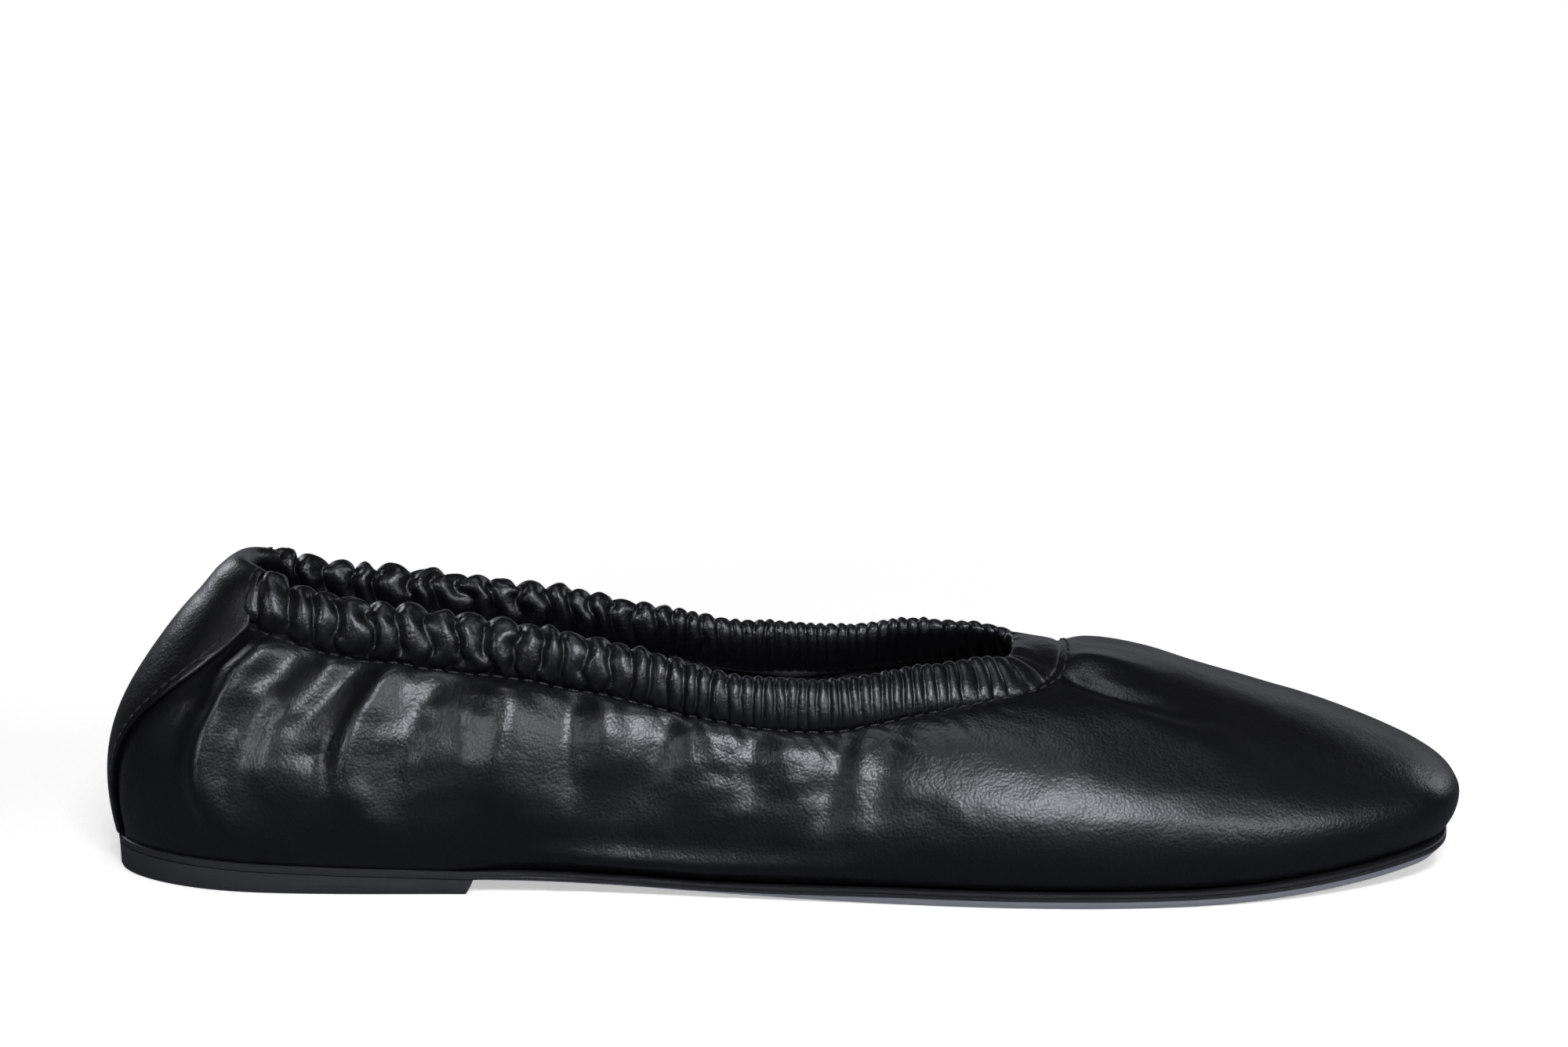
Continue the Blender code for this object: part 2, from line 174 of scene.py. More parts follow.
# Folds of the slack leather: the fold's half width, its depth, outwards when positive, and the places
# it runs through. They are millimetres from the back of the feather line and above it on the sides,
# and from the back and to the left of the middle on the vamp.
LATERAL_FOLDS = (
    (3.4, -0.5, (32, 43), (23, 37), (16.5, 29), (12.5, 21), (12, 13), (15, 6)),
    (2.7, 2.3, (37, 41), (28.5, 36), (22.5, 28.5), (19, 20.5), (18.5, 14), (21, 8.5), (28, 4.4), (44, 2.4)),
    (3.2, -0.8, (40, 38), (32.5, 32.5), (27.5, 25), (25.5, 17.5), (28, 11), (36, 7.5)),
    (2.2, 1.3, (42.5, 37), (40.5, 32.5)),
    (1.8, -0.8, (49, 38), (43, 32), (37, 25.5), (33, 19)),
    (1.5, -0.6, (53.5, 37), (48, 31.5), (42, 25)),
    (3.0, -0.7, (50, 37), (45.5, 31), (41.5, 25), (39.5, 18), (41, 11)),
    (2.8, 1.6, (57, 37), (51, 33.5), (47, 27), (44.5, 19), (46.5, 12), (51.5, 8), (59, 5.5)),
    (3.6, -1.2, (63, 36), (58, 29), (54, 21), (54.5, 13), (59, 8.5)),
    (5.5, 2.5, (76, 36), (73.5, 29), (72, 21), (74, 13), (80, 7)),
    (3.2, -1.2, (85.5, 33), (84.5, 26), (85, 18), (87, 7)),
    (3.8, 0.9, (91, 32), (90.5, 24), (92.5, 14)),
    (3.4, -0.8, (104, 30), (99, 21), (93, 13), (89, 7)),
    (5.0, 0.7, (109, 29), (106, 20), (103, 11)),
    (3.2, -0.7, (118, 28), (117, 19), (117, 10)),
    (5.0, 0.6, (124, 27), (123, 18), (122, 9)),
    (2.8, -0.9, (134, 26), (131, 18), (130.5, 7)),
    (3.2, -0.7, (142, 27), (139.5, 19), (139, 9)),
    (2.6, 2.1, (80, 3.4), (105, 3.4), (128, 3.6), (150, 3.8)),
    (6.5, -0.9, (84, 17), (103, 16), (124, 15), (146, 15), (156, 16)),
)
VAMP_FOLDS = (
    (2.4, -1.5, (171, -11), (180, -17), (188, -19), (201, -21.5)),
    (4.5, 0.9, (184, -23.5), (199, -26), (214, -25)),
    (3.4, 1.1, (174, -7), (181, -8), (192, -9)),
    (2.2, -1.2, (173, 13), (182, 17), (196, 20), (208, 20)),
    (3.6, 0.8, (176, 8), (189, 9.5), (199, 10)),
)
MEDIAL_FOLDS = (
    (2.6, -1.0, (33, 43), (23, 37), (16, 29), (11.5, 20), (13, 10)),
    (2.8, 2.3, (38, 41), (29, 36), (22, 28), (18, 20), (18, 12), (23, 7), (34, 4.5)),
    (4.2, -2.8, (44, 36), (35, 31), (29, 24), (27, 16), (31, 9)),
    (1.6, -1.2, (48, 37), (42, 32), (36, 26), (33, 20)),
    (3.4, 2.4, (60, 37), (53, 32), (49, 24), (49, 15), (55, 8)),
    (4.2, -2.5, (68, 36), (62, 28), (58, 20), (60, 11)),
    (6.2, 2.6, (78, 36), (75, 27), (74, 18), (79, 10)),
    (3.4, -2.4, (88, 34), (87, 26), (87, 17), (89, 8)),
    (4.6, 1.4, (97, 33), (95, 24), (94, 12)),
    (3.4, -1.8, (106, 31), (103, 23), (99, 14)),
    (5.0, 1.2, (114, 30), (111, 21), (109, 11)),
    (3.2, -1.7, (124, 29), (122, 18), (121, 8)),
    (3.2, -1.3, (136, 29), (134, 19), (132, 8)),
    (7.0, 1.0, (140, 6), (160, 7), (182, 9), (205, 8)),
)

VAMP_FOLDS_ABOVE = 15.0

# How finely the pieces are meshed
UPPER_TURNS = 660
UPPER_STEPS = 60
CASING_STEPS = 760
CASING_CORNERS = 44
CASING_ANGLES = np.linspace(0.0, 2.0 * math.pi, CASING_CORNERS, endpoint=False) - math.pi / 2.0
STRIP_STEPS = 48
STRIP_RISE_STEPS = 84
STRIP_FOLD_STEPS = 40
TAB_STEPS = 60
SOLE_TURNS = 180

# How loosely the casing's pleats wander, differ in size and crumple
GATHERS = {"Drift": 0.32, "Unevenness": 0.5, "Crumple": 0.25}

# The casing's ends, the tucked edge of the upper in it, the throat band and the back strip
CASING_BEGIN_TURN = 0.09
TUCK_IN, TUCK_UP = 0.0004, 0.0016
TAB_OVERLAP_TURN = 0.012
TAB_END_THICKNESS = 0.0030
STRIP_LIFT = 0.0009
STRIP_WALL = 0.0011
STRIP_FOLD_THICKNESS = 0.0030
STRIP_EDGE_ROUNDING = 0.0004

# Thread
STITCH_PITCH = 0.0027
STITCH_LENGTH = 0.0020
STRIP_STITCH_PITCH = 0.0024
STRIP_STITCH_LENGTH = 0.0019
THREAD_RADIUS = 0.00024
STITCH_LIFT = 0.00012

# Leathers: name, dark and light colour, roughness, specular, grain pebbles a metre
LEATHERS = (
    ("black_nappa_finish", (0.0010, 0.0011, 0.0015), (0.0020, 0.0021, 0.0029), (0.37, 0.45), 0.5, 1800.0),
    ("black_lining_finish", (0.026, 0.026, 0.028), (0.048, 0.048, 0.051), (0.62, 0.74), 0.3, 1100.0),
)
GRAIN_DEPTH = 0.00004
GRAIN_WARP = 0.0005

# Rubbers: name, dark and light colour, roughness, and streaks a metre along the shoe, across and up
EDGE_STREAKS = (60.0, 60.0, 3000.0)
UNDER_STREAKS = (500.0, 90.0, 300.0)
HEEL_STREAKS = (90.0, 90.0, 2400.0)
RUBBERS = (
    ("sole_edge_finish", (0.010, 0.010, 0.012), (0.017, 0.017, 0.019), (0.42, 0.55), EDGE_STREAKS),
    # The bevel's light bluish grey is a painted reflection of a bright surround on the dark sole stock, not
    # the stock's own colour.
    ("sole_bevel_painted_reflection", (0.270, 0.280, 0.335), (0.350, 0.362, 0.425), (0.40, 0.52), EDGE_STREAKS),
    ("sole_under_finish", (0.016, 0.016, 0.019), (0.030, 0.030, 0.034), (0.55, 0.72), UNDER_STREAKS),
    ("heel_side_finish", (0.0135, 0.0145, 0.0165), (0.019, 0.020, 0.023), (0.58, 0.70), HEEL_STREAKS),
)

# Stage
FLOOR_SIZE = 8.0
FLOOR_COLOUR = (0.90, 0.86, 0.81)
FLOOR_IN_LEATHER = (0.14, 0.15, 0.17)
LIGHT_COLOUR = (0.89, 0.93, 1.0)
LIGHTS = (
    # name, place, aim, size, watts, spread in degrees
    ("key_softbox", (0.11, -0.91, 0.67), (0.0, 0.0, 0.02), (0.34, 0.22), 7.5, 180.0),
    ("heel_key", (-0.80, -0.78, 0.44), (-0.088, -0.03, 0.022), (0.06, 0.44), 0.040, 10.0),
    ("vamp_key", (0.17, -0.92, 0.67), (0.062, -0.03, 0.016), (0.30, 0.16), 0.040, 9.0),
    ("side_softbox", (0.72, -0.75, 0.42), (0.05, 0.0, 0.03), (0.22, 0.22), 3.2, 180.0),
    ("rim_softbox", (0.10, 1.05, 0.30), (0.0, 0.0, 0.03), (1.4, 0.18), 0.6, 180.0),
    ("heel_softbox", (-0.80, 0.85, 0.55), (-0.02, 0.0, 0.03), (0.34, 0.26), 2.6, 180.0),
    ("toe_softbox", (0.85, 0.70, 0.45), (0.05, 0.0, 0.03), (0.30, 0.26), 1.0, 180.0),
    ("top_softbox", (-0.05, -0.10, 1.10), (-0.02, 0.0, 0.02), (0.40, 0.24), 1.5, 180.0),
)

# Camera
CAMERA_ELEVATION = 12.0
CAMERA_LENS = 100.0
PHOTO_WIDTH = 2000
PIXELS_A_METRE = 6930.0
SHOE_BELOW_MIDDLE = 233


def loop_spline(table):
    """A function of the turn: the smooth closed cubic curve through a table's rows."""
    knots, values = table[:, 0], table[:, 1:]
    count = len(knots)
    gaps = np.diff(np.append(knots, knots[0] + FULL_TURN))
    matrix = np.zeros((count, count))
    right = np.zeros_like(values)
    for i in range(count):
        before, after = gaps[i - 1], gaps[i]
        matrix[i, i - 1] += before
        matrix[i, i] += 2.0 * (before + after)
        matrix[i, (i + 1) % count] += after
        ahead = (values[(i + 1) % count] - values[i]) / after
        behind = (values[i] - values[i - 1]) / before
        right[i] = 6.0 * (ahead - behind)
    bends = np.linalg.solve(matrix, right)

    def curve(turn):
        turn = np.mod(np.asarray(turn, float), FULL_TURN)
        low = np.searchsorted(knots, turn, side="right") - 1
        high = (low + 1) % count
        gap = gaps[low][..., None]
        b = (turn - knots[low])[..., None] / gap
        a = 1.0 - b
        bending = (a**3 - a) * bends[low] + (b**3 - b) * bends[high]
        return a * values[low] + b * values[high] + bending * gap**2 / 6.0

    return curve


def both_sides(rows, values):
    """A table round the shoe: the lateral side's rows to the toe, then the medial side's back."""
    there = [(row[0], *values(row, -1)) for row in rows]
    back = [(FULL_TURN - row[0], *values(row, 1)) for row in rows[-2:0:-1]]
    return np.array(there + back)


def outline_values(row, side):
    _, along, lateral, medial = row
    width = -lateral if side < 0 else medial
    return along * SOLE_LENGTH, width * BALL_WIDTH


def topline_values(row, side):
    _, along, lateral, medial, low, high, lean = row
    width, rise = (-lateral, low) if side < 0 else (medial, high)
    return along * SOLE_LENGTH, width * BALL_WIDTH, rise * UPPER_HEIGHT, lean


def rib_values(row, _):
    wall_out, wall_rise, belly_out, *rest = row[1:]
    return wall_out * BALL_WIDTH, wall_rise, belly_out * BALL_WIDTH, *rest


OUTLINE_AT = loop_spline(both_sides(OUTLINE, outline_values))
TOPLINE_AT = loop_spline(both_sides(TOPLINE, topline_values))
RIB_AT = loop_spline(both_sides(RIBS, rib_values))


def plan_normal(curve, turn):
    """The outward direction, seen from above, of a closed curve round the shoe."""
    step = 0.002
    way = curve(turn + step)[..., :2] - curve(turn - step)[..., :2]
    way /= np.linalg.norm(way, axis=-1, keepdims=True)
    return np.stack([way[..., 1], -way[..., 0]], axis=-1)


def sole_outline(turn, inset=0.0):
    """Points on the sole's outline, moved inwards by inset."""
    inset = np.asarray(inset, float)
    inset = inset[..., None] if inset.ndim else inset
    return OUTLINE_AT(turn) - inset * plan_normal(OUTLINE_AT, turn)


def eased(share):
    share = np.clip(share, 0.0, 1.0)
    return share * share * (3.0 - 2.0 * share)


def sole_bottom(x):
    """Height of the sole's underside: pitched on the heel, falling, flat, then sprung at the toe."""
    flat_start, flat_end = FLAT_START * SOLE_LENGTH, FLAT_END * SOLE_LENGTH
    pitch = (HEEL_BREAST_LIFT - HEEL_BACK_LIFT) / HEEL_LENGTH
    on_heel = HEEL_BACK_LIFT + GAP + pitch * np.clip(x, 0.0, HEEL_LENGTH)
    waist = (x - HEEL_LENGTH) / (flat_start - HEEL_LENGTH)
    spring = np.clip((x - flat_end) / (SOLE_LENGTH - flat_end), 0.0, None)
    return on_heel * (1.0 - eased(waist)) + TOE_SPRING * spring**2


def sole_thickness(x):
    thickening = (x / SOLE_LENGTH - THICKENS_FROM) / (FLAT_START - THICKENS_FROM)
    return SOLE_WAIST_THICKNESS + (SOLE_FORE_THICKNESS - SOLE_WAIST_THICKNESS) * eased(thickening)


def sole_top(x):
    return sole_bottom(x) + sole_thickness(x)


def smooth_shell(turn, share):
    """The upper's outer face without its folds: share 0 on the feather line, 1 on the casing's seam."""
    turn, share = np.broadcast_arrays(np.asarray(turn, float), np.asarray(share, float))
    share = share[..., None]
    foot = sole_outline(turn, FEATHER_MARGIN)
    outward = plan_normal(OUTLINE_AT, turn)
    top = TOPLINE_AT(turn)
    rib = RIB_AT(turn)
    parts = (rib[..., i : i + 1] for i in range(6))
    wall_out, wall_rise, belly_out, belly_rise, crown_in, crown_rise = parts
    ground = sole_top(foot[..., :1]) + GAP
    rise = sole_top(top[..., :1]) + GAP + top[..., 2:3] - ground
    run = top[..., :2] - foot
    plan = (foot, foot + outward * wall_out, foot + outward * belly_out, foot + run * crown_in, foot + run)
    lift = (0.0, wall_rise, belly_rise, crown_rise, 1.0)
    weights = [math.comb(4, k) * share**k * (1.0 - share) ** (4 - k) for k in range(5)]
    across = sum(w * p for w, p in zip(weights, plan))
    height = ground + rise * sum(w * l for w, l in zip(weights, lift))
    return np.concatenate([across, height], axis=-1)


def face_normals(grid, around):
    """Unit normals of a grid of points, outwards for rows that run round by the lateral side."""
    if around:
        along = np.roll(grid, -1, axis=0) - np.roll(grid, 1, axis=0)
    else:
        along = np.gradient(grid, axis=0)
    up = np.gradient(grid, axis=1)
    normal = np.cross(along, up)
    return normal / np.maximum(np.linalg.norm(normal, axis=-1, keepdims=True), 1e-12)


def from_heel(turn):
    """The turn counted from the heel on either side: 0 at the heel, 1 at the toe."""
    turn = np.mod(turn, FULL_TURN)
    return np.minimum(turn, FULL_TURN - turn)


def gathering(turn, column):
    """A column of the gathering table, eased between its rows.

    1 is the pitch, 2 the valley, 3 the upper's pleat, 4 the puff, 5 the thickness, 6 the height.
    """
    rows = np.array(GATHERING)
    place = from_heel(turn)
    low = np.clip(np.searchsorted(rows[:, 0], place, side="right") - 1, 0, len(rows) - 2)
    share = eased((place - rows[low, 0]) / (rows[low + 1, 0] - rows[low, 0]))
    return rows[low, column] * (1.0 - share) + rows[low + 1, column] * share


def wander(x, seed, octaves=3):
    """Smooth uneven values between about -1 and 1 along x, the same on each run."""
    total = 0.0
    for k in range(octaves):
        pace = 1.7**k
        total = total + np.sin(x * pace * 1.93 + seed * 2.7 + k * 1.3) / pace
        total = total + np.sin(x * pace * 3.11 + seed * 5.1 + k * 0.7) * 0.6 / pace
    return total / 2.2


def seam_lengths(turns):
    """Arc length along the casing's seam at each turn."""
    points = smooth_shell(turns, 1.0)
    return np.concatenate([[0.0], np.cumsum(np.linalg.norm(np.diff(points, axis=0), axis=1))])


def fold_line(places, lead, count=140):
    """Points on the smooth curve through a fold's places, which starts a lead before the first one."""
    given = np.array(places, float)
    start = given[0] - given[1]
    given[0] += start / np.linalg.norm(start) * lead
    padded = np.concatenate([[2.0 * given[0] - given[1]], given, [2.0 * given[-1] - given[-2]]])
    spans = len(given) - 1
    t = np.linspace(0.0, spans, count)
    span = np.minimum(t.astype(int), spans - 1)
    t = (t - span)[:, None]
    before, start, end, after = (padded[span + k] for k in range(4))
    bend = 2.0 * before - 5.0 * start + 4.0 * end - after
    turn_back = 3.0 * start - before - 3.0 * end + after
    return start + 0.5 * t * (end - before + t * (bend + t * turn_back))


def fold_relief(x, y, z, lateral):
    """Outward offset in millimetres from all the folds, at places in millimetres on the outer face.

    Each fold is a soft stroke: small rounded swells laid close together along its line, so that it
    stays smooth where the line bends back on itself.
    """
    relief = np.zeros_like(x)
    sides = (
        (LATERAL_FOLDS, z, lateral),
        (VAMP_FOLDS, y, z > VAMP_FOLDS_ABOVE),
        (MEDIAL_FOLDS, z, ~lateral),
    )
    rows = [(second, side, *fold) for folds, second, side in sides for fold in folds]
    for second, side, width, depth, *places in rows:
        line = fold_line(places, width)
        share = np.linspace(0.0, 1.0, len(line))
        strength = (0.55 + 0.45 * eased(share / 0.2)) * eased((1.0 - share) / 0.5)
        spread = width * (0.85 + 0.4 * share)
        spacing = np.linalg.norm(np.gradient(line, axis=0), axis=1)
        weight = strength * spacing / (spread * math.sqrt(math.pi))
        reach = 3.4 * width
        near = side & (x > line[:, 0].min() - reach) & (x < line[:, 0].max() + reach)
        gaps = np.hypot(x[near][:, None] - line[:, 0], second[near][:, None] - line[:, 1])
        relief[near] += depth * (np.exp(-((gaps / spread) ** 2)) * weight).sum(axis=1)
    return relief


def strip_half_turn(share):
    """Half the back strip's width as a turn, from the feather line to the casing's seam."""
    return PANEL_FOOT_TURN + (PANEL_TOP_TURN - PANEL_FOOT_TURN) * eased(share)


class Upper:
    """The folded outer face of the upper, on a grid of turns and shares."""

    def __init__(self):
        share = np.arange(UPPER_TURNS) / UPPER_TURNS
        self.turns = FULL_TURN * share - 0.05 * np.sin(2.0 * FULL_TURN * math.pi * share) / math.pi
        self.shares = 1.0 - (1.0 - np.linspace(0.0, 1.0, UPPER_STEPS + 1)) ** 1.15
        base = smooth_shell(self.turns[:, None], self.shares[None, :])
        self.base = base
        self.normals = face_normals(base, True)
        steps = np.linalg.norm(np.diff(base, axis=1), axis=2)
        lengths = np.concatenate([np.zeros((len(base), 1)), np.cumsum(steps, axis=1)], axis=1)
        self.below_seam = (lengths[:, -1:] - lengths) / MM
        self.above_feather = lengths / MM
        self.relief = self.build_relief()
        self.points = base + self.normals * self.relief[..., None] * MM

    def build_relief(self):
        x = self.base[..., 0] / MM
        z = (self.base[..., 2] - sole_top(self.base[..., 0])) / MM
        turn = np.broadcast_to(self.turns[:, None], x.shape)
        share = np.broadcast_to(self.shares[None, :], x.shape)
        place = from_heel(turn)
        lateral = turn < 1.0
        below, above = self.below_seam, self.above_feather

        y = self.base[..., 1] / MM
        relief = fold_relief(x, y, z, lateral) * (0.15 + 0.85 * eased(below / 5.0))

        # Pleats that run down from the seam
        seam_length = seam_lengths(self.turns) / MM
        phase = np.cumsum(np.gradient(seam_length) / gathering(self.turns, 1))[:, None] * 0.55
        drift = wander(below * 0.12 + phase * 0.3, 4.0) * 0.35
        pleat = 1.0 - np.abs(np.cos(math.pi * (phase + drift))) ** 3
        uneven = 0.75 + 0.5 * wander(phase * 0.9, 9.0)
        reach = 8.0 + 4.0 * wander(phase * 0.7, 2.0)
        fade = np.exp(-below / reach) * eased(below / 1.6)
        relief += gathering(turn, 3) * (pleat - 0.55) * 2.6 * uneven * fade

        # The slack leather's puff below the seam, and its soft unevenness
        puff_at = 5.5 + 4.5 * eased((place - 0.66) / 0.2)
        puff = (below / puff_at) * np.exp(1.0 - below / puff_at)
        relief += gathering(turn, 4) * puff
        soft = wander(x * 0.075 + z * 0.05 + y * 0.04, 1.0) * wander(z * 0.11 - x * 0.03 + y * 0.07, 7.0)
        relief += soft * (0.75 - 0.45 * eased((x - 140.0) / 30.0))

        # All of it dies away at the sole, where the wall is lasted a little in or out
        relief *= eased(above / 5.0) * 0.85 + 0.15 * eased(above / 2.5)
        on_heel = 1.0 - eased((x - 60.0) / 18.0)
        relief += (1.35 * on_heel - 0.75) * np.exp(-above / (1.0 + 1.2 * on_heel))

        # Flat under the back strip, with a low ridge along the strip's edge
        way = np.linalg.norm(np.gradient(self.base, axis=0), axis=2)
        turn_length = way / np.gradient(self.turns)[:, None]
        beyond = (place - strip_half_turn(share)) * turn_length / MM
        outside = eased(beyond / 4.0 + 0.15)
        relief = relief * outside - 0.15 * (1.0 - outside)
        relief += 0.3 * np.exp(-(((beyond - 4.0) / 2.6) ** 2)) * eased(above / 6.0)
        return relief

    def on_skin(self, turn, below_mm, lift):
        """A point on the folded face, so many millimetres below the seam, lifted off it."""
        row = int(np.argmin(np.abs(self.turns - turn)))
        order = np.argsort(self.below_seam[row])
        column = self.below_seam[row][order]
        point = [np.interp(below_mm, column, self.points[row, order, k]) for k in range(3)]
        normal = [np.interp(below_mm, column, self.normals[row, order, k]) for k in range(3)]
        return np.array(point) + np.array(normal) * lift


def casing_axes(turn):
    """For places on the topline: the seam point, the way up the casing, and the way out of its face."""
    turn = np.asarray(turn, float)
    outward = plan_normal(TOPLINE_AT, turn)
    lean = np.radians(TOPLINE_AT(turn)[..., 3:4])
    level = np.concatenate([outward, np.zeros_like(lean)], axis=-1)
    upright = np.array([0.0, 0.0, 1.0])
    up = np.cos(lean) * upright - np.sin(lean) * level
    side = np.cos(lean) * level + np.sin(lean) * upright
    return smooth_shell(turn, 1.0), up, side


def casing_section(turn, thickness, height, angles, squareness=0.75, sink=0.0):
    """The casing's rounded oblong section at each place on the topline, sunk onto the upper's edge."""
    seam, up, side = casing_axes(turn)
    middle = seam - side * UPPER_WALL / 2.0 + up * (GAP + CASING_HEIGHT / 2.0)
    flat = np.sign(np.cos(angles)) * np.abs(np.cos(angles)) ** squareness
    tall = np.sign(np.sin(angles)) * np.abs(np.sin(angles)) ** squareness
    foot = middle - up * (CASING_HEIGHT / 2.0 + sink)
    across = side[:, None] * (flat[None, :, None] * np.reshape(thickness, (-1, 1, 1)) / 2.0)
    rise = (tall[None, :, None] + 1.0) / 2.0 * np.reshape(height + sink, (-1, 1, 1))
    return foot[:, None] + across + up[:, None] * rise


# Placing and linking

SHIFT = np.zeros(3)


def new_object(name, data):
    made = bpy.data.objects.new(name, data)
    bpy.context.scene.collection.objects.link(made)
    return made


def find_shift():
    """How far the solids were moved from the drawing's own start at the back of the feather line."""
    rim = sole_outline(shoe_turns(SOLE_STEPS))
    lowest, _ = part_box("outsole")
    return np.append([lowest.x, lowest.y] - rim.min(axis=0), 0.0)


def add_mesh(name, points, faces, materials, face_slots=None, smooth_angle=None):
    mesh = bpy.data.meshes.new(name)
    placed = np.asarray(points, float).reshape(-1, 3) + SHIFT
    mesh.from_pydata(placed.tolist(), [], faces)
    mesh.validate()
    for made in materials:
        mesh.materials.append(made)
    if face_slots is not None:
        mesh.polygons.foreach_set("material_index", face_slots)
    mesh.shade_smooth()
    if smooth_angle:
        mesh.set_sharp_from_angle(angle=math.radians(smooth_angle))
    return new_object(name, mesh)


def add_floats(piece, name, values):
    """Stores a number for each point of a piece, for its nodes to read."""
    attribute = piece.data.attributes.new(name, "FLOAT", "POINT")
    attribute.data.foreach_set("value", np.asarray(values, np.float32).ravel())


def grid_faces(rows, columns, rows_join, columns_join=False):
    faces = []
    for r in range(rows if rows_join else rows - 1):
        here, there = r * columns, (r + 1) % rows * columns
        for c in range(columns if columns_join else columns - 1):
            d = (c + 1) % columns
            faces.append((here + c, there + c, there + d, here + d))
    return faces


def finish_piece(piece, slot_name, *nodes):
    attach(piece, "root")
    if nodes:
        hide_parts(*nodes)
    return piece


def applied(piece):
    """The piece with its modifiers made plain mesh."""
    graph = bpy.context.evaluated_depsgraph_get()
    mesh = bpy.data.meshes.new_from_object(piece.evaluated_get(graph))
    piece.modifiers.clear()
    old = piece.data
    piece.data = mesh
    bpy.data.meshes.remove(old)
    return piece


# Materials


def fill(tree, node, inputs):
    """Links each named input of a node to a socket, or sets it to a value."""
    for name, value in inputs.items():
        if isinstance(value, bpy.types.NodeSocket):
            tree.links.new(value, node.inputs[name])
        else:
            node.inputs[name].default_value = value


def add_node(tree, kind, inputs=None, **settings):
    """A new node with its settings made and its inputs filled."""
    node = tree.nodes.new(kind)
    for name, value in settings.items():
        setattr(node, name, value)
    fill(tree, node, inputs or {})
    return node


def new_tree(name, kind, through, numbers, outputs):
    """A node tree with one vector or geometry in, and some numbers; gives its end nodes too."""
    tree = bpy.data.node_groups.new(name, kind)
    face = tree.interface
    face.new_socket(through, in_out="INPUT", socket_type="NodeSocket" + through)
    for socket, value in numbers.items():
        made = face.new_socket(socket, in_out="INPUT", socket_type="NodeSocketFloat")
        made.default_value = value
    for socket, made in outputs.items():
        face.new_socket(socket, in_out="OUTPUT", socket_type="NodeSocket" + made)
    return tree, tree.nodes.new("NodeGroupInput"), tree.nodes.new("NodeGroupOutput")


def math_node(tree, operation, *values, clamp=False):
    inputs = dict(enumerate(values))
    node = add_node(tree, "ShaderNodeMath", inputs, operation=operation, use_clamp=clamp)
    return node.outputs[0]


def noise_node(tree, vector, scale, detail=2.0):
    inputs = {"Vector": vector, "Scale": scale, "Detail": detail}
    return add_node(tree, "ShaderNodeTexNoise", inputs).outputs["Fac"]


def pebble_grain():
    """Leather grain: small rounded pebbles parted by fine creases, with finer pores."""
    numbers, outputs = {"Pebbles a Metre": 1500.0}, {"Height": "Float", "Pebble": "Float"}
    ends = new_tree("pebble_grain", "ShaderNodeTree", "Vector", numbers, outputs)
    group, given, result = ends
    place = given.outputs["Vector"]
    warp = add_node(group, "ShaderNodeTexNoise", {"Vector": place, "Scale": 420.0, "Detail": 2.0})
    inputs = {0: warp.outputs["Color"], 1: (GRAIN_WARP,) * 3, 2: place}
    warped = add_node(group, "ShaderNodeVectorMath", inputs, operation="MULTIPLY_ADD").outputs[0]
    inputs = {"Vector": warped, "Scale": given.outputs["Pebbles a Metre"], "Smoothness": 0.25}
    cells = add_node(group, "ShaderNodeTexVoronoi", inputs, feature="SMOOTH_F1")
    away = math_node(group, "POWER", cells.outputs["Distance"], 1.6)
    pebble = math_node(group, "SUBTRACT", 1.0, away, clamp=True)
    pores = math_node(group, "MULTIPLY", noise_node(group, place, 5200.0), 0.18)
    group.links.new(math_node(group, "ADD", pebble, pores), result.inputs["Height"])
    group.links.new(pebble, result.inputs["Pebble"])
    return group


def soft_mottle():
    """Broad, faint unevenness from handling, and a finer one on top."""
    outputs = {"Broad": "Float", "Fine": "Float"}
    group, given, result = new_tree("soft_mottle", "ShaderNodeTree", "Vector", {}, outputs)
    for name, scale in (("Broad", 28.0), ("Fine", 260.0)):
        spots = noise_node(group, given.outputs["Vector"], scale, 3.0)
        group.links.new(spots, result.inputs[name])
    return group


def colour_between(tree, factor, dark, light):
    inputs = {"Factor": factor, "A": (*dark, 1.0), "B": (*light, 1.0)}
    return add_node(tree, "ShaderNodeMix", inputs, data_type="RGBA").outputs["Result"]


def value_between(tree, factor, low, high):
    inputs = {"Value": factor, "To Min": low, "To Max": high}
    return add_node(tree, "ShaderNodeMapRange", inputs).outputs["Result"]


def bump(tree, height, depth, strength, below=None):
    inputs = {"Height": height, "Distance": depth, "Strength": strength}
    if below is not None:
        inputs["Normal"] = below
    return add_node(tree, "ShaderNodeBump", inputs).outputs["Normal"]


def new_material(name):
    """A material with its tree, its surface shader and the places that its patterns follow."""
    made = bpy.data.materials.new(name)
    made.use_nodes = True
    tree = made.node_tree
    place = tree.nodes.new("ShaderNodeTexCoord").outputs["Object"]
    return made, tree, tree.nodes["Principled BSDF"], place


def leather(name, dark, light, rough, specular, pebbles, grain, mottle):
    """A leather: two near colours, a roughness range, and a grain of so many pebbles a metre."""
    made, tree, shader, place = new_material(name)
    inputs = {"Vector": place, "Pebbles a Metre": pebbles}
    grained = add_node(tree, "ShaderNodeGroup", inputs, node_tree=grain)
    mottled = add_node(tree, "ShaderNodeGroup", {"Vector": place}, node_tree=mottle)
    sheen = math_node(tree, "MULTIPLY", grained.outputs["Pebble"], -0.06)
    base = value_between(tree, mottled.outputs["Broad"], *rough)
    soft = bump(tree, mottled.outputs["Fine"], 0.0006, 0.25)
    surface = {
        "Base Color": colour_between(tree, mottled.outputs["Fine"], dark, light),
        "Roughness": math_node(tree, "ADD", base, sheen),
        "Normal": bump(tree, grained.outputs["Height"], GRAIN_DEPTH, 1.0, soft),
        "Specular IOR Level": specular,
    }
    fill(tree, shader, surface)
    return made


